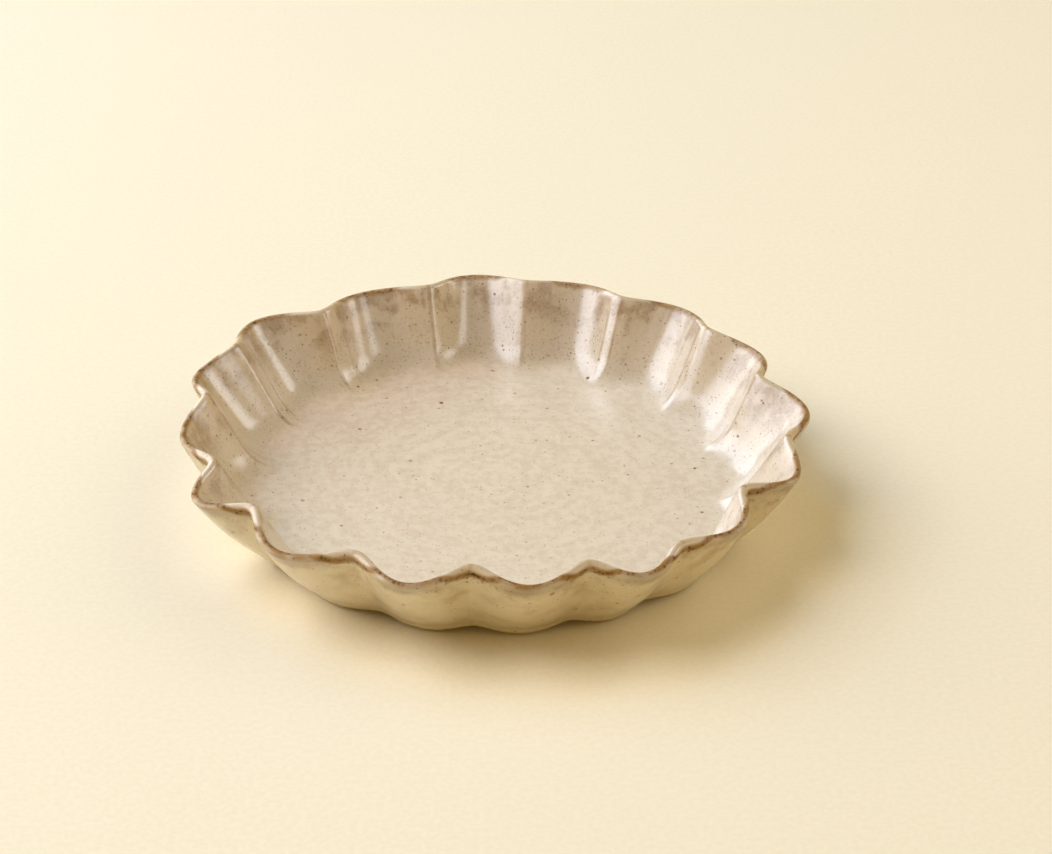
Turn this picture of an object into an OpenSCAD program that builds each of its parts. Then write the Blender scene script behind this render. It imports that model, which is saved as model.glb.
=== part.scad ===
// Scalloped dessert plate in glazed stoneware: a flat floor, a fluted wall pinched into soft folds,
// a round lip and a foot ring. Millimetres, +Z up, standing on the foot ring at z = 0.

/* [Plate] */
// Outside diameter across the lobes
plate_d = 167; // [140:1:220]
// Height from the table to the top of the folds
plate_h = 27; // [22:0.5:40]
// How far a fold comes in from the lobes at the lip
fold_depth = 6.5; // [2:0.5:8]
// How much higher the lip stands at a fold than at a lobe
fold_rise = 2; // [0:0.25:4]
// How softly a fold turns at the lip, small for a sharp crease
lip_softness = 0.4; // [0.2:0.05:1]
// Share of the uneven hand pinching, 0 for a regular plate
pinch_share = 1; // [0:0.1:1]

/* [Wall] */
// Thickness of the floor, glaze included
floor_t = 4.6; // [2.8:0.1:6]
// Thickness of the lip at a fold, glaze included
lip_t = 3; // [2.4:0.1:4]
// How much thinner the lip is at a lobe than at a fold
lip_thinning = 0.7; // [0:0.1:1]

/* [Inside] */
// How much further out the corner of the inside lies than the corner of the outside, at a fold
corner_step = 1.25; // [0:0.25:2]
// How much further out the inside rises at a lobe than at a fold
inner_spread = 3.5; // [0:0.25:4]
// Radius of the bend from the floor to the wall on the inside, at the middle of the clay
inner_bend_r = 12.5; // [6:0.5:16]
// How softly a fold turns at the foot of the inside, small for a sharp ridge
inner_softness = 0.2; // [0.1:0.01:0.6]

/* [Outside] */
// Diameter at which the outside rises from the underside, at the folds
outer_corner_d = 127.5; // [122:0.5:134]
// How much further out the outside rises at a lobe than at a fold
outer_spread = 2.25; // [0:0.25:3]
// Radius of the bend from the underside to the wall on the outside, at the middle of the clay
outer_bend_r = 4; // [3:0.5:10]
// How far the outside swells out between its bend and the lip
outer_belly = 1.25; // [0:0.25:2]
// How softly a fold turns at the foot of the outside, small for a sharp groove
outer_softness = 0.4; // [0.3:0.05:1]

/* [Foot] */
// How far in the foot ring stands from the corner of the outside, at a fold
foot_inset = 7.75; // [6:0.25:20]
// Width of the foot ring
foot_w = 5; // [3:0.5:10]
// Height of the foot ring below the glazed underside
foot_h = 0.8; // [0.5:0.1:4]
// Rounding of the foot ring's lower edges
foot_edge_r = 0.5; // [0.2:0.1:1.2]

/* [Glaze] */
// Thickness of the glaze
glaze_t = 0.4; // [0.2:0.1:0.8]
// Width of the bare clay that is wiped clean beside the foot ring
wiped_w = 1.5; // [0.5:0.25:3]

/* [Hidden] */

clay_colour = "#b59a7c";
glaze_colour = "#ddcfb8";

// Hand pinching, going round from the right hand side of the plate: the width of each lobe in
// degrees, and how far each lobe and the fold before it stand out from the even outline.
lobe_width = [25, 23, 23, 22, 22, 26, 23, 21, 26, 19, 25, 21, 21, 18, 23, 22];
lobe_out = [0, -1.5, -0.5, -1, 0.5, -2, 3, 0.5, -1.5, 2.5, 2, 1, -0.5, 1.5, -1.5, -0.5];
fold_out = [1, -2, -0.5, -1, 0, -1.5, -2, 3, 0.5, 0, 1, 1.5, 0, 1, 3, -2.5];
first_fold = -10;

// Places along one lobe, from one fold (0) to the next (1), closer together at the folds
lobe_steps = [0, 0.08, 0.19, 0.33, 0.5, 0.67, 0.81, 0.92];
// Places along the wall, from the start of the bend (0) through its end (1) to the lip (2)
wall_steps = [0, 1 / 3, 2 / 3, 1, 4 / 3, 5 / 3, 2];
// Angles round the half circle of the lip
lip_turns = [36, 72, 108, 144];
// Step along a lobe for the slope of its surface
slope_step = 0.01;
// How far the foot ring runs into the floor, so that they are one piece of clay
foot_bond = 1;

lobes = len(lobe_width);
lobe_r = (plate_d - lip_t + lip_thinning) / 2;
fold_r = lobe_r - fold_depth;
floor_mid_z = foot_h + floor_t / 2;
clay_under_z = foot_h + glaze_t;
outer_corner_r = outer_corner_d / 2;
inner_corner_r = outer_corner_r + corner_step;
foot_r = outer_corner_r - foot_inset;
wiped_r = foot_r + wiped_w;
base_glaze_r = foot_r - foot_w - wiped_w;

function total(list, n) = n == 0 ? 0 : list[n - 1] + total(list, n - 1);
turn = total(lobe_width, lobes);
// Angle of each fold, and of the first one again after a full turn
even_width = turn / lobes;
fold_angle = [for (k = [0:lobes])
    first_fold + 360 / turn * (pinch_share * total(lobe_width, k) + (1 - pinch_share) * k * even_width)];

function mix(from, to, share) = from + (to - from) * share;
function unit(v) = v / norm(v);

// 0 at a fold, 1 at the middle of a lobe
function lobe_wave(s, soft) = (norm([sin(180 * s), soft]) - soft) / (norm([1, soft]) - soft);
// Smooth passage from one fold to the next
function ease(s) = (1 - cos(180 * s)) / 2;

// Places on the plate are told by the lobe k, the place s along it, the place v up the wall,
// and the side of the wall, 0 for the inside and 1 for the outside.
function angle_at(k, s) = mix(fold_angle[k], fold_angle[k + 1], s);
function fold_r_at(k, s) = fold_r + pinch_share * mix(fold_out[k], fold_out[(k + 1) % lobes], ease(s));
// Radius, thickness and height of the lip, at its centre line
function lip_r_at(k, s) = mix(fold_r_at(k, s), lobe_r + pinch_share * lobe_out[k], lobe_wave(s, lip_softness));
function lip_t_at(s) = lip_t - lip_thinning * lobe_wave(s, lip_softness);
function lip_z_at(s) = plate_h - fold_rise * lobe_wave(s, lip_softness) - lip_t_at(s) / 2;
// Radius of the corner where the wall would meet the floor without its bend
function corner_r_at(s, side) = mix(
    inner_corner_r + inner_spread * lobe_wave(s, inner_softness),
    outer_corner_r + outer_spread * lobe_wave(s, outer_softness), side);
function bend_r_at(side) = mix(inner_bend_r, outer_bend_r, side);
// Slope of the wall, in degrees from the floor
function slope_at(k, s, side) = atan2(lip_z_at(s) - floor_mid_z, lip_r_at(k, s) - corner_r_at(s, side));
function tilt(k, s, v, side) = slope_at(k, s, side) * min(v, 1);

// Radius and height of the middle of the clay: an arc for the bend, then a wall that swells outside
function bend_point(k, s, v, side) =
    let (
        r = bend_r_at(side),
        a = tilt(k, s, v, side),
        start = corner_r_at(s, side) - r * tan(slope_at(k, s, side) / 2))
    [start + r * sin(a), floor_mid_z + r * (1 - cos(a))];
function belly(v, side) = outer_belly * side * 4 * (v - 1) * (2 - v);
function out_of_wall(k, s, side) = let (a = slope_at(k, s, side)) [sin(a), -cos(a)];
function section(k, s, v, side) = v <= 1
    ? bend_point(k, s, v, side)
    : mix(bend_point(k, s, 1, side), [lip_r_at(k, s), lip_z_at(s)], v - 1)
        + belly(v, side) * out_of_wall(k, s, side);
function middle(k, s, v, side) =
    let (p = section(k, s, v, side), a = angle_at(k, s))
    [p[0] * cos(a), p[0] * sin(a), p[1]];

// Direction up the wall, and the surface's normal towards the inside of the plate
function up_wall(k, s, v, side) =
    let (a = angle_at(k, s), b = tilt(k, s, v, side))
    [cos(b) * cos(a), cos(b) * sin(a), sin(b)];
function along_lobe(k, s, v, side) =
    middle(k, min(s + slope_step, 1), v, side) - middle(k, max(s - slope_step, 0), v, side);
function inward(k, s, v, side) = unit(cross(up_wall(k, s, v, side), along_lobe(k, s, v, side)));
function half_t(s, v, skin) = mix(floor_t, lip_t_at(s), v / 2) / 2 - skin;

// A point of the surface, turned from the inside (0) over the lip (90) to the outside (180)
function skin_point(k, s, v, over, skin) =
    let (side = over / 180)
    middle(k, s, v, side) + half_t(s, v, skin)
        * (cos(over) * inward(k, s, v, side) + sin(over) * up_wall(k, s, v, side));
function skin_ring(v, over, skin) = [for (k = [0:lobes - 1], s = lobe_steps) skin_point(k, s, v, over, skin)];
function flat_ring(r, z) = [for (k = [0:lobes - 1], s = lobe_steps)
    [r * cos(angle_at(k, s)), r * sin(angle_at(k, s)), z]];

// Rings from the edge of the floor up the inside, over the lip and down to the underside
last_step = len(wall_steps) - 1;
function shell_rings(skin) = concat(
    [for (v = wall_steps) skin_ring(v, 0, skin)],
    [for (over = lip_turns) skin_ring(2, over, skin)],
    [for (i = [last_step:-1:0]) skin_ring(wall_steps[i], 180, skin)]);

ring_size = lobes * len(lobe_steps);
// Solid through a row of rings, closed by a flat face on the first ring and on the last.
// From the ring turn_back on, where the rings run back along the clay, the triangles are split the
// other way, so that they are the clay's own.
function band_faces(rings, turn_back) = [for (i = [0:rings - 2], j = [0:ring_size - 1])
    let (a = i * ring_size, b = a + ring_size, n = (j + 1) % ring_size)
    each i < turn_back
        ? [[a + j, b + n, b + j], [a + j, a + n, b + n]]
        : [[a + j, a + n, b + j], [a + n, b + n, b + j]]];
function end_face(first, way) = way > 0
    ? [for (j = [0:ring_size - 1]) first + j]
    : [for (j = [ring_size - 1:-1:0]) first + j];
module ring_solid(rings, turn_back) {
    faces = concat(
        band_faces(len(rings), turn_back),
        [end_face(0, -1)],
        [end_face((len(rings) - 1) * ring_size, 1)]);
    polyhedron(points = [for (r = rings) each r], faces = faces, convexity = 12);
}

// Foot ring with rounded lower edges
module foot_ring() {
    rotate_extrude($fn = 180) translate([foot_r - foot_w, 0]) {
        translate([foot_edge_r, 0]) square([foot_w - 2 * foot_edge_r, foot_edge_r]);
        translate([0, foot_edge_r]) square([foot_w, clay_under_z + foot_bond - foot_edge_r]);
        translate([foot_edge_r, foot_edge_r]) circle(foot_edge_r, $fn = 32);
        translate([foot_w - foot_edge_r, foot_edge_r]) circle(foot_edge_r, $fn = 32);
    }
}

// The fired clay: floor, fluted wall and foot ring in one piece, bare only at the foot
module stoneware_body() {
    rings = shell_rings(glaze_t);
    color(clay_colour) {
        ring_solid(rings, len(rings));
        foot_ring();
    }
}

// The glaze over the inside, the lip and the outside, ending at the wiped band by the foot ring
module glaze_coat() {
    outer = concat(shell_rings(0), [flat_ring(wiped_r, foot_h)]);
    inner = shell_rings(glaze_t);
    back = [for (i = [len(inner) - 1:-1:0]) inner[i]];
    color(glaze_colour) ring_solid(concat(outer, [flat_ring(wiped_r, clay_under_z)], back), len(outer));
}

// The glaze on the underside within the foot ring
module base_glaze() {
    color(glaze_colour) translate([0, 0, foot_h]) cylinder(h = glaze_t, r = base_glaze_r, $fn = 180);
}

stoneware_body();
glaze_coat();
base_glaze();
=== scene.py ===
# Scalloped dessert plate in speckled stoneware: clay body, glaze coat and the glaze under the foot.
import math

import bmesh
import bpy
import numpy as np
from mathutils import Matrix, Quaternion, Vector, noise


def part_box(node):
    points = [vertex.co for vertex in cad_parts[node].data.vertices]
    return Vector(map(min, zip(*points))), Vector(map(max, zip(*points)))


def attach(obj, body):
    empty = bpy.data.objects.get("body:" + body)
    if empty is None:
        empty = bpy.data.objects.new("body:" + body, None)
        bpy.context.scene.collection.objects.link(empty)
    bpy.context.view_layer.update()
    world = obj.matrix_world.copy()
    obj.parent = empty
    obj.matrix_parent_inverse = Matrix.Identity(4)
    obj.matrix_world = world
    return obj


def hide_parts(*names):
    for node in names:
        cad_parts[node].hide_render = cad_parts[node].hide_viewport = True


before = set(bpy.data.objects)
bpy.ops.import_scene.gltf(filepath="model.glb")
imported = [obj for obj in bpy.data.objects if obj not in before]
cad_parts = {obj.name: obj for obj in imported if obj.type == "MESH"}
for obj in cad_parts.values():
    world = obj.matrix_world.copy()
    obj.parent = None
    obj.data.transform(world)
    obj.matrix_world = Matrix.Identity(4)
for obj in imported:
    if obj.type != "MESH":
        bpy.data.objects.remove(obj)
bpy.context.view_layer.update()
mm = 0.001
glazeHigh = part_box("glaze_coat")[1]
baseLow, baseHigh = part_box("base_glaze")

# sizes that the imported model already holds
plateTop = glazeHigh.z
underside = baseLow.z
glazeThick = baseHigh.z - baseLow.z
baseRadius = baseHigh.x

# the pinched outline, going round from the plate's right hand side, with a value for each lobe or fold
outline = {
    "lobeWidths": [25, 23, 23, 22, 22, 26, 23, 21, 26, 19, 25, 21, 21, 18, 23, 22],     # in degrees
    "lobeOut": [0, -1.5, -0.5, -1, 0.5, -2, 3, 0.5, -1.5, 2.5, 2, 1, -0.5, 1.5, -1.5, -0.5],  # in mm
    "foldOut": [1, -2, -0.5, -1, 0, -1.5, -2, 3, 0.5, 0, 1, 1.5, 0, 1, 3, -2.5],  # in mm
    # how rusty a fold is, and how far beside it a second ridge runs, in mm
    "foldIron": [0.6, 0.6, 0.7, 0.5, 0.3, 0.5, 0.4, 0.8, 0.6, 0.6, 0.5, 0.5, 0.4, 0.6, 0.6, 0.5],
    "foldEdge": [0, 2, 2.5, 2.5, 0, 0, -6, -6, -5, -4, 0, 0, 0, 0, 0, 0],
    "firstFold": math.radians(-10),
    "width": 167 * mm,                  # across the lobes
    "foldDepth": 6.5 * mm,              # how far a fold comes in at the lip
    "foldRise": 2 * mm,                 # how much higher the lip stands at a fold
    "softness": 0.4,                    # of the turn at a fold
}

# the wall between the floor and the lip; pairs are for the inside and the outside
wall = {
    "floorThick": 4.6 * mm,
    "lipThick": 3 * mm,                 # at a fold
    "lipThinning": 0.7 * mm,            # thinner by this at a lobe
    "corner": (65 * mm, 63.75 * mm),    # radius where the wall rises from the floor
    "spread": (3.5 * mm, 2.25 * mm),    # further out at a lobe
    "softness": (0.2, 0.4),             # of the turn at a fold
    "bend": (12.5 * mm, 2 * mm),        # radius at the middle of the clay
    "belly": (0, 1.25 * mm),            # how far it swells out between bend and lip
}

foot = {
    "radius": 56 * mm,
    "width": 5 * mm,
    "edge": 0.5 * mm,                   # radius of its lower edges
    "wiped": 1.5 * mm,                  # bare clay beside the foot ring
}

lobeCount = len(outline["lobeWidths"])
foldTurns = np.cumsum([0] + outline["lobeWidths"]) / sum(outline["lobeWidths"])
foldAngles = outline["firstFold"] + 2 * math.pi * foldTurns
lobeRadius = (outline["width"] - wall["lipThick"] + wall["lipThinning"]) / 2
foldRadius = lobeRadius - outline["foldDepth"]
floorMiddle = underside + wall["floorThick"] / 2
floorTop = underside + wall["floorThick"]
wipedRadius = foot["radius"] + foot["wiped"]


def mix(start, end, share):
    return start + (end - start) * share


def lobeWave(place, softness):          # 0 at a fold, 1 in the middle of a lobe
    return (np.hypot(np.sin(np.pi * place), softness) - softness) / (math.hypot(1, softness) - softness)


class Round:
    # the columns of a mesh going round the plate, closer together at the folds
    def __init__(self, perLobe, crowding=0.6):
        step = np.arange(perLobe) / perLobe
        place = step - crowding * np.sin(2 * np.pi * step) / (2 * np.pi)
        self.lobe = np.repeat(np.arange(lobeCount), perLobe)
        self.place = np.tile(place, lobeCount)
        self.count = len(self.place)
        self.angle = mix(foldAngles[self.lobe], foldAngles[self.lobe + 1], self.place)
        self.across = np.stack([np.cos(self.angle), np.sin(self.angle), np.zeros(self.count)], axis=1)
        atFold = foldRadius + self.betweenFolds("foldOut") * mm
        atLobe = lobeRadius + np.array(outline["lobeOut"])[self.lobe] * mm
        wave = lobeWave(self.place, outline["softness"])
        self.lipRadius = mix(atFold, atLobe, wave)
        self.lipThick = wall["lipThick"] - wall["lipThinning"] * wave
        self.lipHeight = plateTop - outline["foldRise"] * wave - self.lipThick / 2
        self.nearFold = 1 - wave
        fromFold = np.where(self.place < 0.5, self.place, self.place - 1)
        # length round to the nearest fold
        self.aside = fromFold * np.diff(foldAngles)[self.lobe] * lobeRadius

    def atFold(self, name):                     # the value of the nearest fold
        return np.array(outline[name])[(self.lobe + (self.place >= 0.5)) % lobeCount]

    def betweenFolds(self, name):               # eases from one fold's value to the next one's
        values = np.array(outline[name])
        ease = (1 - np.cos(np.pi * self.place)) / 2
        return mix(values[self.lobe], values[(self.lobe + 1) % lobeCount], ease)

    def section(self, climb, side):
        # radius, height and slope of the clay's middle, and the length from there to the lip;
        # climb is 0 to 1 in the bend, 1 to 2 up the wall
        inner, outer = (radius + spread * lobeWave(self.place, softness) for radius, spread, softness
                        in zip(wall["corner"], wall["spread"], wall["softness"]))
        corner = mix(inner, outer, side)
        bend = mix(*wall["bend"], side)
        slope = np.arctan2(self.lipHeight - floorMiddle, self.lipRadius - corner)
        tilt = slope * min(climb, 1)
        radius = corner - bend * np.tan(slope / 2) + bend * np.sin(tilt)
        height = floorMiddle + bend * (1 - np.cos(tilt))
        straight = max(climb - 1, 0)
        belly = mix(*wall["belly"], side) * 4 * straight * (1 - straight)
        radius = mix(radius, self.lipRadius, straight) + belly * np.sin(slope)
        height = mix(height, self.lipHeight, straight) - belly * np.cos(slope)
        toLip = np.hypot(self.lipRadius - radius, self.lipHeight - height)
        return radius, height, tilt, toLip

    def skin(self, climb, over, depth):
        # a ring of the surface, its normal, and how far past the crest of the lip it lies;
        # over is 0 on the inside, 0.5 on the crest of the lip, 1 on the outside
        radius, height, tilt, toLip = self.section(climb, over)
        middle = self.across * radius[:, None]
        middle[:, 2] = height
        upWall = self.across * np.cos(tilt)[:, None]
        upWall[:, 2] = np.sin(tilt)
        along = np.roll(middle, -1, axis=0) - np.roll(middle, 1, axis=0)
        inward = np.cross(upWall, along)
        inward /= np.linalg.norm(inward, axis=1)[:, None]
        half = mix(wall["floorThick"], self.lipThick, climb / 2) / 2 - depth
        turn = math.pi * over
        normal = math.cos(turn) * inward + math.sin(turn) * upWall
        past = self.lipThick / 2 * (turn - math.pi / 2) + toLip * (1 if over > 0.5 else -1)
        return middle + half[:, None] * normal, normal, past

    def flat(self, radius, height):
        ring = self.across * radius
        ring[:, 2] = height
        return ring


class Rings:
    # rings of points, joined into one closed skin from pole to pole
    def __init__(self, columns):
        self.columns = columns
        self.points = []
        self.marks = {"climb": [], "past": [], "crease": [], "fold": [], "iron": []}

    def add(self, ring, **values):
        self.points.append(ring)
        for name, rows in self.marks.items():
            rows.append(np.broadcast_to(values.get(name, 0.0), (self.columns.count,)))

    def build(self, name, poles):
        count = self.columns.count
        points = [poles[0]] + [point for ring in self.points for point in ring] + [poles[1]]
        last = len(points) - 1
        end = last - count
        shape = bmesh.new()
        corners = [shape.verts.new(point) for point in points]
        for here in range(count):
            then = (here + 1) % count
            shape.faces.new((corners[0], corners[1 + then], corners[1 + here]))
            for ring in range(1, end, count):
                after = ring + count
                shape.faces.new((corners[ring + here], corners[ring + then],
                                 corners[after + then], corners[after + here]))
            shape.faces.new((corners[last], corners[end + here], corners[end + then]))
        bmesh.ops.recalc_face_normals(shape, faces=shape.faces)
        mesh = bpy.data.meshes.new(name)
        shape.to_mesh(mesh)
        shape.free()
        mesh.shade_smooth()
        for mark, rows in self.marks.items():
            values = np.concatenate([rows[0][:1], *rows, rows[-1][:1]]).astype(np.float32)
            mesh.attributes.new(mark, "FLOAT", "POINT").data.foreach_set("value", values)
        piece = bpy.data.objects.new(name, mesh)
        bpy.context.collection.objects.link(piece)
        return piece


class Wire:
    # a shader socket that can stand in a sum
    def __init__(self, recipe, socket):
        self.recipe = recipe
        self.socket = socket

    def maths(self, operation, first, second):
        return self.recipe.node("ShaderNodeMath", {"operation": operation}, {0: first, 1: second})

    def __add__(self, other):
        return self.maths("ADD", self, other)

    def __radd__(self, other):
        return self.maths("ADD", other, self)

    def __sub__(self, other):
        return self.maths("SUBTRACT", self, other)

    def __rsub__(self, other):
        return self.maths("SUBTRACT", other, self)

    def __mul__(self, other):
        return self.maths("MULTIPLY", self, other)

    def __rmul__(self, other):
        return self.maths("MULTIPLY", other, self)


class Recipe:
    # a material, or the room's light, and the nodes it is mixed from
    def __init__(self, mixed):
        self.mixed = mixed
        mixed.use_nodes = True
        self.tree = mixed.node_tree
        self.tree.nodes.clear()

    def node(self, kind, settings=None, sockets=None, output=0):
        made = self.tree.nodes.new(kind)
        for name, value in (settings or {}).items():
            setattr(made, name, value)
        for name, value in (sockets or {}).items():
            if isinstance(value, Wire):
                self.tree.links.new(value.socket, made.inputs[name])
            else:
                made.inputs[name].default_value = value
        return Wire(self, made.outputs[output]) if made.outputs else None

    def place(self, stretch=(1, 1, 1)):     # the place on the plate in millimetres
        at = self.node("ShaderNodeTexCoord", output="Object")
        scale = tuple(part / mm for part in stretch)
        return self.node("ShaderNodeVectorMath", {"operation": "MULTIPLY"}, {0: at, 1: scale})

    def cloud(self, at, size, detail, rough):       # soft noise, 0 to 1, with patches of this size
        sockets = {"Vector": at, "Scale": 1 / size, "Detail": detail, "Roughness": rough}
        return self.node("ShaderNodeTexNoise", {"noise_dimensions": "3D"}, sockets)

    def round(self, length, width):         # brush strokes that run round the plate
        flat = self.place((1 / length, 1 / length, 0))
        radius = self.node("ShaderNodeVectorMath", {"operation": "LENGTH"}, {0: flat}, "Value")
        aside = self.node("ShaderNodeCombineXYZ", None, {"Z": radius * (length / width)})
        return self.node("ShaderNodeVectorMath", {"operation": "ADD"}, {0: flat, 1: aside})

    def down(self, length, width):          # brush strokes that run down the wall
        way = self.node("ShaderNodeVectorMath", {"operation": "NORMALIZE"}, {0: self.place((1, 1, 0))})
        share = foldRadius / mm / width
        turn = self.node("ShaderNodeVectorMath", {"operation": "MULTIPLY"}, {0: way, 1: (share, share, 0)})
        rise = self.place((0, 0, 1 / length))
        return self.node("ShaderNodeVectorMath", {"operation": "ADD"}, {0: turn, 1: rise})

    def also(self, wire, output):           # another output of the same node
        return Wire(self, wire.socket.node.outputs[output])

    def mark(self, name):
        settings = {"attribute_type": "GEOMETRY", "attribute_name": name}
        return self.node("ShaderNodeAttribute", settings, output="Fac")

    def rise(self, value, low, high):       # 0 below low, 1 above high; falls instead where low is higher
        settings = {"interpolation_type": "SMOOTHSTEP"}
        sockets = {"Value": value, "From Min": low, "From Max": high}
        return self.node("ShaderNodeMapRange", settings, sockets)

    def band(self, value, start, full, fade, end):      # 0 outside start and end, 1 from full to fade
        return self.rise(value, start, full) * self.rise(value, end, fade)

    def blend(self, share, first, second):      # sockets 0, 6 and 7 are the share and the two colours
        settings = {"data_type": "RGBA", "clamp_factor": True}
        return self.node("ShaderNodeMix", settings, {0: share, 6: first, 7: second}, output=2)

    def finish(self, shader, output="ShaderNodeOutputMaterial"):
        self.node(output, sockets={"Surface": shader})
        return self.mixed


def colour(red, green, blue):               # from the 0 to 255 values of a picture
    def light(value):
        value /= 255
        return value / 12.92 if value <= 0.04045 else ((value + 0.055) / 1.055) ** 2.4
    return light(red), light(green), light(blue), 1.0


print("shapes and recipes ready, lobes:", lobeCount)


# finishes, with lengths in millimetres; a pattern is its size, detail and roughness, an edge is where
# a pattern starts and is full, a band starts, is full, fades and ends, and a pair of shares is the
# least and the most

speckShape = {
    "least": 0.35,                          # the smallest speck against the largest
    "soft": 0.5,                            # where its soft edge ends
    "faint": 0.4,                           # the faintest speck against the strongest
}


def specks(recipe, at, spacing, radius):
    settings = {"feature": "F1", "distance": "EUCLIDEAN"}
    cells = recipe.node("ShaderNodeTexVoronoi", settings, {"Vector": at, "Scale": 1 / spacing})
    tint = recipe.also(cells, "Color")
    draw = recipe.node("ShaderNodeSeparateColor", None, {"Color": tint})
    show = recipe.also(draw, "Green")
    size = mix(speckShape["least"], 1, draw * draw) * (radius / spacing)
    return recipe.rise(cells, size, size * speckShape["soft"]) * mix(speckShape["faint"], 1, show)


glazeFinish = {
    # colours
    "cream": colour(235, 225, 206),         # floor
    "blush": colour(210, 190, 168),         # brushed thinner, and towards one side of the floor
    "taupe": colour(210, 197, 177),         # up the inside
    "brown": colour(158, 132, 100),         # inside, under the lip
    "tan": colour(213, 198, 157),           # outside; partly painted warm light bounced from the table, which makes it yellower
    "stain": colour(166, 135, 88),
    "veilShade": colour(146, 125, 93),           # painted shade, with thinner glaze, under the line on a lobe
    "pearl": colour(200, 180, 148),         # over the lip
    "ochre": colour(150, 112, 54),          # where it breaks over an edge
    "umber": colour(70, 45, 14),            # iron, and the painted shade over the foot
    "speck": colour(116, 72, 26),
    # patterns
    "mottle": (2.6, 3, 0.5),
    "pepper": (0.8, 2, 0.6),
    "pepperEdge": (0.5, 0.68),
    "patches": (5.0, 3, 0.5),
    "patchEdge": (0.35, 0.65),
    "stains": (7.0, 4, 0.55),
    "rust": (1.6, 3, 0.6),
    "rustEdge": (0.47, 0.63),
    "strokes": (1, 4, 0.6),                 # of the brush round the floor, measured in its own length
    "strokeLength": 11.0,
    "strokeWidth": 3.5,
    "streaks": (1, 3, 0.6),                 # and down the wall
    "streakLength": 24.0,
    "streakWidth": 2.2,
    # the brushed floor and inside
    "strokeShare": 0.45,                    # of strokes against mottle
    "thinEdge": (0.4, 0.64),
    "thinByBrush": 0.42,
    "thinByPepper": 0.2,
    "darkerBySide": 0.5,
    "darkerTo": (-0.7, 0.7, 0),            # the floor is darker towards this side
    "darkerFrom": (10, 60),                # how far that way
    "wallFrom": (0.1, 0.35),                # how far up the wall's colours start
    "taupeShare": (0.5, 1.1),
    "darkByStain": 0.8,                     # of stains against streaks
    "darkEdge": (0.42, 0.6),
    "underLip": (-17, -6, -2, -0.8),        # browner inside, past the crest of the lip
    "underLeast": 0.1,
    "underDark": (0.65, 0.85),
    "pepperShare": (0.12, 0.42),
    # the outside
    "outsideFrom": (-0.5, 1.5),             # past the crest of the lip
    "tanShare": 0.85,
    "nearLip": (14, 3),
    "stainEdge": (0.4, 0.74),
    "stainShare": (0.4, 0.8),
    "veilShadeBand": (-0.5, 0.5, 1.5, 6.0),
    "veilShadeShare": (0.55, 0.9),
    # the line along the lip, and the ridges
    "lipBand": (-1.8, -0.9, 1.8, 2.6),
    "pearlShare": (0.2, 0.9),
    "lineAtLobe": -0.8,                     # past the crest of the lip
    "lineAtFold": 2.4,
    "swingEdge": (0.25, 0.8),               # where it swings over, between a lobe and a fold
    "lineAtBack": -0.4,                     # further in by this at the back
    "backFrom": (0, 40),
    "wander": (5.0, 2, 0.5),
    "lineWander": 1.4,
    "smearWidth": 1.7,
    "smearShare": (0.75, 1),
    "smearAtBack": 0.8,
    "coreWidth": 0.8,
    "coreShare": 0.55,
    "dotShare": 0.8,
    "ridgeEdge": (0.4, 0.95),
    "ridgeFrom": (0.1, 0.3),
    "ridgeIron": (0.2, 1),
    "ridgeShare": (0.25, 0.8),
    # iron that gathers, and painted shade over the foot
    "grainSpacing": 1.1,
    "grainRadius": 0.7,
    "grainRust": 0.3,
    "rustBand": (1.2, 2.4, 3.5, 7.0),       # past the crest of the lip
    "gatherFold": (0.15, 1),
    "gatherShare": (0.3, 0.8),
    "footShadeBand": (0.02, 0.08, 0.2, 0.36),    # how far up the outside painted shade darkens the foot at the folds
    "footShadeEdge": (0.1, 0.9),
    "footShadeShare": 0.5,
    "poolEdge": (0.05, 0.9),
    "poolBand": (0.12, 0.25, 0.34, 0.55),   # how far up the inside
    "poolIron": (0.55, 1),
    "poolShare": (0.25, 0.65),
    # specks: spacing, largest radius, and how strongly they show on the floor and on the wall
    "specks": [(1.1, 0.32, 0.6, 1), (3.0, 0.6, 0.7, 0.9), (7, 0.95, 1, 1)],
    "speckOutside": 0.8,
    # shine
    "roughness": 0.3,
    "roughByMottle": 0.12,
    "roughByIron": 0.15,
    "roughByWear": 0.15,
    "wornShare": (0.4, 1),
    "underShine": 0.15,
    "coatRoughness": 0.22,
    "coatIndex": 1.9,
    "coatLoss": {                           # how much of the coat is lost on each
        "worn": 0.4,
        "smear": 0.9,
        "core": 0.9,
        "gathered": 0.7,
        "footShade": 1,
        "spots": 0.9,
        "pool": 0.9,
    },
    "swells": (3.5, 2, 0.5),
    "swellHeight": 0.005,
    "speckDip": 0.3,
}


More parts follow.
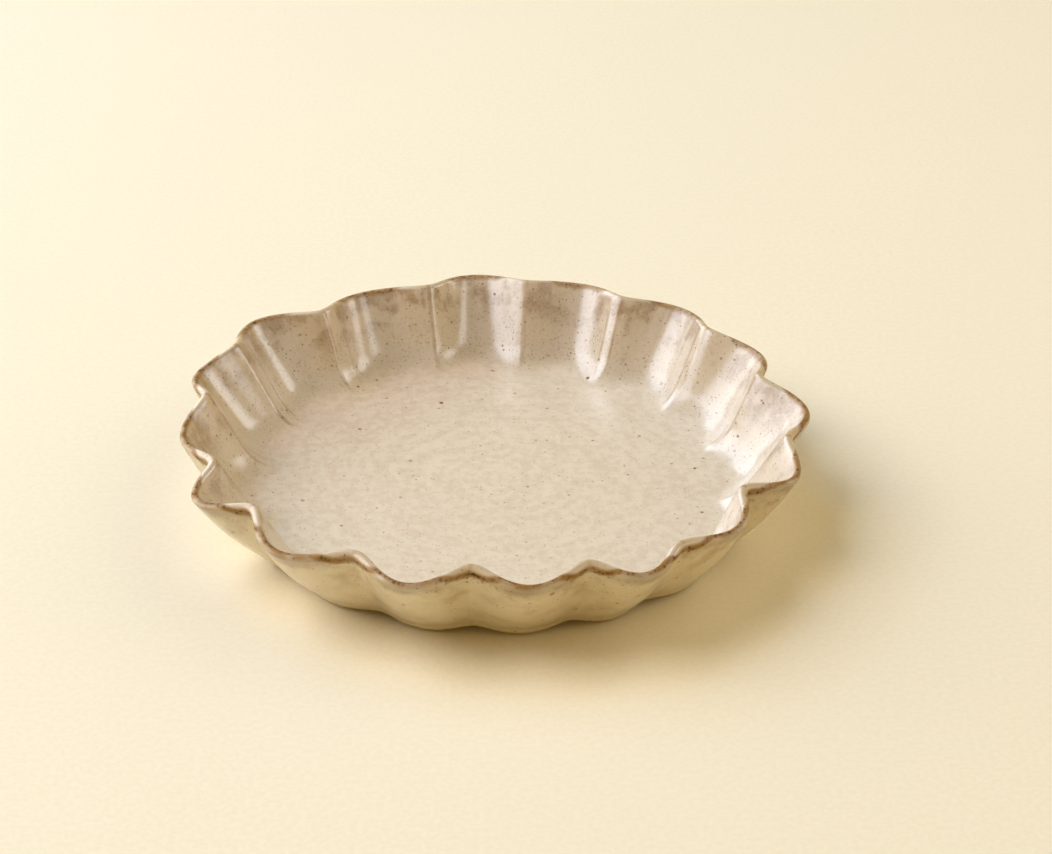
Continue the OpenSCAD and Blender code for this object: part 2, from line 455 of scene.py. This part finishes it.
def glazeRecipe(name, finish):
    recipe = Recipe(bpy.data.materials.new(name))
    place = recipe.place()
    climb = recipe.mark("climb")
    past = recipe.mark("past")
    fold = recipe.mark("fold")
    iron = recipe.mark("iron")
    crease = recipe.mark("crease")
    outside = recipe.rise(past, *finish["outsideFrom"])
    inside = 1 - outside
    onWall = recipe.rise(climb, *finish["wallFrom"])
    mottle = recipe.cloud(place, *finish["mottle"])
    pepper = recipe.rise(recipe.cloud(place, *finish["pepper"]), *finish["pepperEdge"])
    patchy = recipe.rise(recipe.cloud(place, *finish["patches"]), *finish["patchEdge"])
    stains = recipe.cloud(place, *finish["stains"])
    strokes = recipe.cloud(recipe.round(finish["strokeLength"], finish["strokeWidth"]), *finish["strokes"])
    streaks = recipe.cloud(recipe.down(finish["streakLength"], finish["streakWidth"]), *finish["streaks"])

    # brushed cream, darker towards the back left of the floor, thinner up the wall and browner under the
    # lip
    towards = recipe.node("ShaderNodeVectorMath", {"operation": "DOT_PRODUCT"},
                          {0: place, 1: finish["darkerTo"]}, "Value")
    brushed = recipe.rise(mix(mottle, strokes, finish["strokeShare"]), *finish["thinEdge"])
    blushShare = finish["thinByBrush"] * brushed + finish["thinByPepper"] * pepper
    # darker towards the back left of the floor
    blushShare = blushShare + finish["darkerBySide"] * recipe.rise(towards, *finish["darkerFrom"])
    body = recipe.blend(blushShare, finish["cream"], finish["blush"])
    body = recipe.blend(onWall * inside * mix(*finish["taupeShare"], streaks), body, finish["taupe"])
    dark = recipe.rise(mix(streaks, stains, finish["darkByStain"]), *finish["darkEdge"])
    underLip = finish["underLeast"] + dark * mix(*finish["underDark"], pepper)
    underLip = underLip * recipe.band(past, *finish["underLip"])
    body = recipe.blend(underLip, body, finish["brown"])
    body = recipe.blend(onWall * inside * pepper * mix(*finish["pepperShare"], dark), body, finish["brown"])
    # the tan is partly painted warm bounce light from the table
    body = recipe.blend(outside * finish["tanShare"], body, finish["tan"])

    # brown stains on the outside, most of them under the lip
    nearLip = recipe.rise(past, *finish["nearLip"])
    stained = outside * recipe.rise(stains, *finish["stainEdge"]) * mix(*finish["stainShare"], nearLip)
    body = recipe.blend(stained, body, finish["stain"])
    # painted shade under the lip's bead on a lobe, with thinner glaze there
    veilShade = recipe.band(past, *finish["veilShadeBand"]) * (1 - fold) * mix(*finish["veilShadeShare"], patchy)
    body = recipe.blend(veilShade, body, finish["veilShade"])

    # over the lip the glaze is thin, with an ochre line round an iron core, which swings from the
    # inside of the lip at a lobe to the outside at a fold
    lip = recipe.band(past, *finish["lipBand"])
    rust = recipe.rise(recipe.cloud(place, *finish["rust"]), *finish["rustEdge"])
    dots = specks(recipe, place, finish["grainSpacing"], finish["grainRadius"])
    deep = recipe.node("ShaderNodeSeparateXYZ", None, {"Vector": place}, "Y")
    atBack = recipe.rise(deep, *finish["backFrom"])
    line = mix(finish["lineAtLobe"], finish["lineAtFold"], recipe.rise(fold, *finish["swingEdge"]))
    wander = (recipe.cloud(place, *finish["wander"]) - 0.5) * finish["lineWander"]
    apart = past - (line + finish["lineAtBack"] * atBack + wander)
    fromLine = apart * apart
    smear = recipe.rise(fromLine, finish["smearWidth"] ** 2, 0) * mix(*finish["smearShare"], patchy)
    smear = smear * mix(1, finish["smearAtBack"], atBack)
    core = recipe.rise(fromLine, finish["coreWidth"] ** 2, 0) * finish["coreShare"] * rust
    core = core + finish["dotShare"] * smear * dots
    ridge = recipe.rise(crease, *finish["ridgeEdge"]) * recipe.rise(climb, *finish["ridgeFrom"]) * inside
    ridge = ridge * mix(*finish["ridgeIron"], iron) * mix(*finish["ridgeShare"], patchy)
    body = recipe.blend(lip * mix(*finish["pearlShare"], fold), body, finish["pearl"])
    body = recipe.blend(smear, body, finish["ochre"])
    body = recipe.blend(core, body, finish["umber"])
    body = recipe.blend(ridge, body, finish["ochre"])

    # iron gathers under the lip, most at the folds, and at the foot of some ridges; painted shade darkens
    # the outside over the foot at the folds
    gathered = recipe.band(past, *finish["rustBand"]) * (finish["grainRust"] * rust + dots)
    gathered = gathered * mix(*finish["gatherFold"], fold) * mix(*finish["gatherShare"], patchy)
    pool = recipe.rise(crease, *finish["poolEdge"]) * recipe.band(climb, *finish["poolBand"]) * inside
    pool = pool * recipe.rise(iron, *finish["poolIron"]) * mix(*finish["poolShare"], mottle)
    # painted shade: the outside over the foot is darkened at the folds, where the gap under the plate lies
    # in shade
    footShade = recipe.band(climb, *finish["footShadeBand"]) * outside
    footShade = footShade * recipe.rise(fold, *finish["footShadeEdge"]) * finish["footShadeShare"]
    for mask in (gathered, pool, footShade):
        body = recipe.blend(mask, body, finish["umber"])

    spots = 0
    for spacing, radius, onFloor, upWall in finish["specks"]:
        strength = mix(onFloor, upWall, onWall) * mix(1, finish["speckOutside"], outside)
        spot = specks(recipe, place, spacing, radius) * strength
        body = recipe.blend(spot, body, finish["speck"])
        spots = spot + spots

    worn = lip * mix(*finish["wornShare"], patchy)
    dulled = {"worn": worn, "smear": smear, "core": core, "gathered": gathered, "footShade": footShade,
              "spots": spots, "pool": pool}
    coat = 1
    for mask, loss in finish["coatLoss"].items():
        coat = coat * (1 - loss * dulled[mask])
    rough = finish["roughness"] + finish["roughByMottle"] * mottle
    rough = rough + finish["roughByIron"] * (smear + ridge) + finish["roughByWear"] * worn
    swell = recipe.cloud(place, *finish["swells"]) - finish["speckDip"] * spots
    bump = recipe.node("ShaderNodeBump", None, {"Height": swell, "Distance": finish["swellHeight"] * mm})
    shader = recipe.node("ShaderNodeBsdfPrincipled", None, {
        "Base Color": body,
        "Roughness": rough,
        "Specular IOR Level": finish["underShine"],
        "Normal": bump,
        "Coat Weight": coat,
        "Coat Roughness": finish["coatRoughness"],
        "Coat IOR": finish["coatIndex"],
    })
    return recipe.finish(shader)


clayFinish = {
    "buff": colour(196, 168, 134),
    "brown": colour(158, 124, 88),
    "grog": colour(92, 68, 48),
    "grain": (0.45, 4, 0.7),
    "grainHeight": 0.12,
    "patches": (9.0, 3, 0.5),
    "patchShare": 0.6,                      # of patches against grain
    "patchEdge": (0.38, 0.62),
    "grogSpacing": 1.4,
    "grogRadius": 0.4,
    "grogDip": 0.5,
    "roughness": 0.78,
    "roughByGrain": 0.18,
}


def clayRecipe(name, finish):
    recipe = Recipe(bpy.data.materials.new(name))
    place = recipe.place()
    grain = recipe.cloud(place, *finish["grain"])
    patches = recipe.cloud(place, *finish["patches"])
    patchy = recipe.rise(mix(grain, patches, finish["patchShare"]), *finish["patchEdge"])
    body = recipe.blend(patchy, finish["buff"], finish["brown"])
    grog = specks(recipe, place, finish["grogSpacing"], finish["grogRadius"])
    body = recipe.blend(grog, body, finish["grog"])
    height = grain - finish["grogDip"] * grog
    bump = recipe.node("ShaderNodeBump", None, {"Height": height, "Distance": finish["grainHeight"] * mm})
    shader = recipe.node("ShaderNodeBsdfPrincipled", None, {
        "Base Color": body,
        "Roughness": finish["roughness"] + finish["roughByGrain"] * grain,
        "Normal": bump,
    })
    return recipe.finish(shader)


# the main glaze coat: inside, lip and outside

glazeCoat = {
    "perLobe": 36,
    "floorRings": 10,
    "bendRings": 10,
    "wallRings": 16,
    "lipRings": 14,
    "backLipRings": 6,
    "inset": 0.15 * mm,             # keeps the wavering surface within the plate's size
    "ripple": 0.1 * mm,             # the surface wavers by this much
    "rippleSize": 11 * mm,
    "tuck": 0.14 * mm,              # the wall draws in below the lip, which stands out as a bead
    "tuckSpan": (1.44, 1.8, 1.86, 2),
    "ridgeWidth": 0.8 * mm,
    "ridgeHeight": 0.2 * mm,        # inside, along a fold
    "edgeHeight": 0.12 * mm,        # and along the second ridge
    "ridgeSpan": (0.3, 0.8, 1.8, 2),
    "sag": 0.75 * mm,               # the lobes hang almost to the table
    "sagSpan": (0, 0.5, 1.3),
    "wipeWander": 0.35 * mm,        # how much the wiped edge wanders
    "wipeSize": 8 * mm,
    "underRings": (0.35, 0.7),      # from the wall in to the wiped edge
    "edgeTurns": [-90, -50, 0, 50, 90],
    "backFloorRings": (0.66, 0.33),
    "farPast": 40.0,                # mark for what lies far from the lip
}


def steps(low, high, count):
    return np.linspace(low, high, count + 1)


def uneven(points, size):           # soft noise from 0 to 1
    return np.array([0.5 + 0.5 * noise.noise(Vector(point) / size) for point in points])


def makeGlazeCoat(made):
    columns = Round(made["perLobe"])
    rings = Rings(columns)
    second = columns.atFold("foldEdge") * mm
    crease = np.exp(-(columns.aside / made["ridgeWidth"]) ** 2)
    edge = np.exp(-((columns.aside - second) / made["ridgeWidth"]) ** 2) * (second != 0)
    ridges = made["ridgeHeight"] * crease + made["edgeHeight"] * edge
    crease = np.maximum(crease, edge)
    foldMarks = {"crease": crease, "fold": columns.nearFold, "iron": columns.betweenFolds("foldIron")}

    def outer(climb, over):
        ring, normal, past = columns.skin(climb, over, 0)
        tuck = np.interp(climb, made["tuckSpan"], [0, 1, 1, 0]) * (over == 1)
        lift = np.interp(climb, made["ridgeSpan"], [0, 1, 1, 0]) * (over == 0)
        depth = made["inset"] + made["ripple"] * uneven(ring, made["rippleSize"]) + made["tuck"] * tuck
        depth -= ridges * lift
        ring = ring - normal * depth[:, None]
        sag = np.interp(climb, made["sagSpan"], [1, 1, 0]) * (over == 1)
        ring[:, 2] -= made["sag"] * sag * (1 - columns.nearFold)
        return ring, past

    def addOuter(climb, over):
        ring, past = outer(climb, over)
        rings.add(ring, climb=climb / 2, past=past / mm, **foldMarks)

    bend = steps(0, 1, made["bendRings"])
    upper = steps(1, 2, made["wallRings"])[1:]
    wallSteps = [*bend, *upper]
    edge = outer(0, 0)[0]
    lowest = made["inset"] + made["ripple"] / 2
    for share in steps(0, 1, made["floorRings"])[1:-1]:
        ring = edge * share
        ring[:, 2] = floorTop - made["inset"] - made["ripple"] * uneven(ring, made["rippleSize"])
        rings.add(ring, past=-made["farPast"])
    for climb in wallSteps:
        addOuter(climb, 0)
    for over in steps(0, 1, made["lipRings"])[1:-1]:
        addOuter(2, over)
    for climb in reversed(wallSteps):
        addOuter(climb, 1)

    # underside, as far as the wiped edge, which is rounded
    edge = outer(0, 1)[0]
    away = {"past": made["farPast"]}
    wander = uneven(columns.flat(foot["radius"], 0), made["wipeSize"]) - 0.5
    wiped = wipedRadius + made["wipeWander"] * wander
    roll = (glazeThick - made["inset"]) / 2
    low = underside + made["inset"]
    for share in made["underRings"]:
        rings.add(mix(edge, columns.flat((wiped + roll)[:, None], low), share), **away)
    for turn in np.radians(made["edgeTurns"]):
        radius = wiped + roll * (1 - math.cos(turn))
        rings.add(columns.flat(radius[:, None], low + roll * (1 + math.sin(turn))), **away)

    # back along the clay
    backSteps = wallSteps[::2]
    for climb in backSteps:
        rings.add(columns.skin(climb, 1, glazeThick)[0], **away)
    for over in steps(1, 0, made["backLipRings"])[1:-1]:
        rings.add(columns.skin(2, over, glazeThick)[0], **away)
    for climb in reversed(backSteps):
        rings.add(columns.skin(climb, 0, glazeThick)[0], **away)
    edge = columns.skin(0, 0, glazeThick)[0]
    for share in made["backFloorRings"]:
        rings.add(edge * (share, share, 1), **away)
    return rings.build("glaze_coat_plate", [(0, 0, floorTop - lowest), (0, 0, floorTop - glazeThick)])


# the clay body, which shows at the foot ring

clayBody = {
    "perLobe": 14,
    "floorRings": (0.33, 0.66),
    "wallRings": 10,
    "lipRings": 8,
    "gap": 0.02 * mm,               # hair's breadth between clay and glaze
    "fillet": 0.4 * mm,             # foot ring to underside
    "filletTurns": [0, 30, 60, 90],
    "edgeTurns": [0, 22, 45, 68, 90],
}


def makeClayBody(made):
    columns = Round(made["perLobe"])
    rings = Rings(columns)
    depth = glazeThick + made["gap"]
    wallSteps = steps(0, 2, made["wallRings"])
    edge = columns.skin(0, 0, depth)[0]
    for share in made["floorRings"]:
        rings.add(edge * (share, share, 1))
    for climb in wallSteps:
        rings.add(columns.skin(climb, 0, depth)[0])
    for over in steps(0, 1, made["lipRings"])[1:-1]:
        rings.add(columns.skin(2, over, depth)[0])
    for climb in reversed(wallSteps):
        rings.add(columns.skin(climb, 1, depth)[0])

    # half of the foot ring's profile: how far out from its wall, and how high
    roof = underside + depth
    profile = []
    for turn in np.radians(made["filletTurns"][::-1]):
        lower = made["fillet"] * (1 - math.sin(turn))
        profile.append((made["fillet"] * (1 - math.cos(turn)), roof - lower))
    for turn in np.radians(made["edgeTurns"]):
        profile.append((foot["edge"] * (math.cos(turn) - 1), foot["edge"] * (1 - math.sin(turn))))
    inner = foot["radius"] - foot["width"]
    for out, height in profile:
        rings.add(columns.flat(foot["radius"] + out, height))
    for out, height in reversed(profile):
        rings.add(columns.flat(inner - out, height))
    for share in reversed(made["floorRings"]):
        rings.add(columns.flat(inner * share, roof))
    return rings.build("clay_body", [(0, 0, floorTop - depth), (0, 0, roof)])


# the glaze within the foot ring

baseGlaze = {
    "perLobe": 14,
    "floorRings": 8,
    "backRings": (1, 0.5),
    "edgeTurns": [-45, 0, 45],
    "wander": 0.4 * mm,
    "wanderSize": 9 * mm,
    "ripple": 0.06 * mm,
    "rippleSize": 12 * mm,
}


def makeBaseGlaze(made):
    columns = Round(made["perLobe"], 0)
    rings = Rings(columns)
    away = {"past": glazeCoat["farPast"]}
    roll = glazeThick / 2
    wander = uneven(columns.flat(baseRadius, 0), made["wanderSize"])
    radius = baseRadius - made["wander"] * wander - roll
    for share in steps(0, 1, made["floorRings"])[1:]:
        ring = columns.flat((radius * share)[:, None], underside)
        ring[:, 2] += made["ripple"] * uneven(ring, made["rippleSize"]) * (share < 1)
        rings.add(ring, **away)
    for turn in np.radians(made["edgeTurns"]):
        reach = radius + roll * math.cos(turn)
        rings.add(columns.flat(reach[:, None], underside + roll * (1 + math.sin(turn))), **away)
    top = underside + glazeThick
    for share in made["backRings"]:
        rings.add(columns.flat((radius * share)[:, None], top), **away)
    return rings.build("glaze_under_foot", [(0, 0, underside + made["ripple"] / 2), (0, 0, top)])


def dress(piece, material, node):
    piece.data.materials.append(material)
    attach(piece, "root")
    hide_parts(node)


glaze = glazeRecipe("speckled_cream_glaze", glazeFinish)
clay = clayRecipe("bare_stoneware", clayFinish)
dress(makeGlazeCoat(glazeCoat), glaze, "glaze_coat")
dress(makeClayBody(clayBody), clay, "stoneware_body")
dress(makeBaseGlaze(baseGlaze), glaze, "base_glaze")
print("plate made")


# the table, the light and the camera

table = {
    "size": 6.0,                        # metres
    "paper": colour(244, 237, 216),
    "fibre": colour(239, 231, 208),
    "patches": (60, 3, 0.5),
    "patchShare": 0.3,                  # of patches against fibres
    "fibres": (1.4, 2, 0.5),
    "fibreEdge": (0.3, 0.7),
    "roughness": 0.9,
    "shine": 0.1,
}


def makeTable(made):
    half = made["size"] / 2
    mesh = bpy.data.meshes.new("table")
    corners = [(-half, -half, 0), (half, -half, 0), (half, half, 0), (-half, half, 0)]
    mesh.from_pydata(corners, [], [(0, 1, 2, 3)])
    piece = bpy.data.objects.new("table", mesh)
    bpy.context.collection.objects.link(piece)
    recipe = Recipe(bpy.data.materials.new("cream_paper"))
    place = recipe.place()
    patches = recipe.cloud(place, *made["patches"])
    fibres = recipe.rise(recipe.cloud(place, *made["fibres"]), *made["fibreEdge"])
    body = recipe.blend(mix(fibres, patches, made["patchShare"]), made["paper"], made["fibre"])
    shader = recipe.node("ShaderNodeBsdfPrincipled", None, {
        "Base Color": body,
        "Roughness": made["roughness"],
        "Specular IOR Level": made["shine"],
    })
    mesh.materials.append(recipe.finish(shader))


# direction round the plate and up in degrees, width and height in metres, watts, tint
lampDistance = 1.7                      # metres
lightingLamps = {                       # light the plate and the table, but aren't mirrored
    "upperWindow": (180, 50, 1.1, 1.1, 20.0, (1.04, 0.95, 0.9)),
    "sky": (140, 50, 1.1, 1.1, 6.0, (0.05, 0.6, 1.35)),
    "lowerWindow": (162, 20, 1.1, 1.1, 12.0, (1.0, 1.02, 0.97)),
    "reflector": (10, 40, 2.2, 1.6, 13.5, (1.15, 1.03, 0.76)),
}
mirroredLamps = {                       # are only mirrored in the glaze
    "shine": (161, 24, 3.9, 2.2, 72.0, (0.9, 1.0, 1.2)),
    "glow": (15, 24, 0.8, 0.9, 6.0, (0.95, 0.98, 1.05)),
    "gleam": (335, 24, 0.5, 0.8, 3.0, (0.95, 0.98, 1.05)),
    "front": (290, 36, 2.6, 1.3, 3.5, (0.9, 1.0, 1.15)),
}


def makeLamp(name, turn, rise, width, height, watts, tint, mirrored):
    lamp = bpy.data.lights.new(name, "AREA")
    lamp.shape = "RECTANGLE"
    lamp.size = width
    lamp.size_y = height
    lamp.energy = watts
    lamp.color = tint
    piece = bpy.data.objects.new(name, lamp)
    level = Vector((math.cos(math.radians(turn)), math.sin(math.radians(turn)), 0))
    up = Vector((0, 0, math.sin(math.radians(rise))))
    piece.location = (level * math.cos(math.radians(rise)) + up) * lampDistance
    piece.rotation_euler = (-piece.location).to_track_quat("-Z", "Y").to_euler()
    piece.visible_camera = False
    piece.visible_glossy = mirrored
    piece.visible_diffuse = not mirrored
    bpy.context.collection.objects.link(piece)


room = {
    "ceiling": (0.14, 0.10, 0.045, 1.0),
    "walls": (0.56, 0.35, 0.08, 1.0),
    "fade": (0.1, 0.7),                 # how high the walls pass into the ceiling
}


def makeRoom(made):
    recipe = Recipe(bpy.data.worlds.new("room"))
    way = recipe.node("ShaderNodeTexCoord", output="Generated")
    up = recipe.node("ShaderNodeSeparateXYZ", None, {"Vector": way}, "Z")
    fill = recipe.blend(recipe.rise(up, *made["fade"]), made["walls"], made["ceiling"])
    light = recipe.node("ShaderNodeBackground", None, {"Color": fill})
    bpy.context.scene.world = recipe.finish(light, "ShaderNodeOutputWorld")


camera = {
    "distance": 667.6 * mm,             # to the middle of the foot
    "rise": math.radians(31.2),
    "roll": math.radians(0.8),
    "picture": (1052, 854),
    "footAt": (494.0, 495.7),           # pixel at which the middle of the foot is seen
    "focal": 2500,                      # in pixels
    "sensor": 36,                       # in millimetres
}


def makeCamera(made):
    lens = bpy.data.cameras.new("camera")
    lens.sensor_fit = "HORIZONTAL"
    lens.sensor_width = made["sensor"]
    lens.lens = made["focal"] / made["picture"][0] * made["sensor"]
    piece = bpy.data.objects.new("camera", lens)
    back = Vector((0, -math.cos(made["rise"]), math.sin(made["rise"])))
    right = Vector((1, 0, 0))
    up = back.cross(right)
    share = made["distance"] / made["focal"]
    aside = (made["picture"][0] / 2 - made["footAt"][0]) * share
    above = (made["footAt"][1] - made["picture"][1] / 2) * share
    piece.location = back * made["distance"]
    aim = right * aside + up * above - piece.location
    level = aim.to_track_quat("-Z", "Y")
    piece.rotation_euler = (level @ Quaternion((0, 0, 1), made["roll"])).to_euler()
    bpy.context.collection.objects.link(piece)
    bpy.context.scene.camera = piece


makeTable(table)
for lampName, lampSettings in lightingLamps.items():
    makeLamp(lampName, *lampSettings, mirrored=False)
for lampName, lampSettings in mirroredLamps.items():
    makeLamp(lampName, *lampSettings, mirrored=True)
makeRoom(room)
makeCamera(camera)
bpy.context.scene.view_settings.view_transform = "Standard"
print("table, light and camera made")
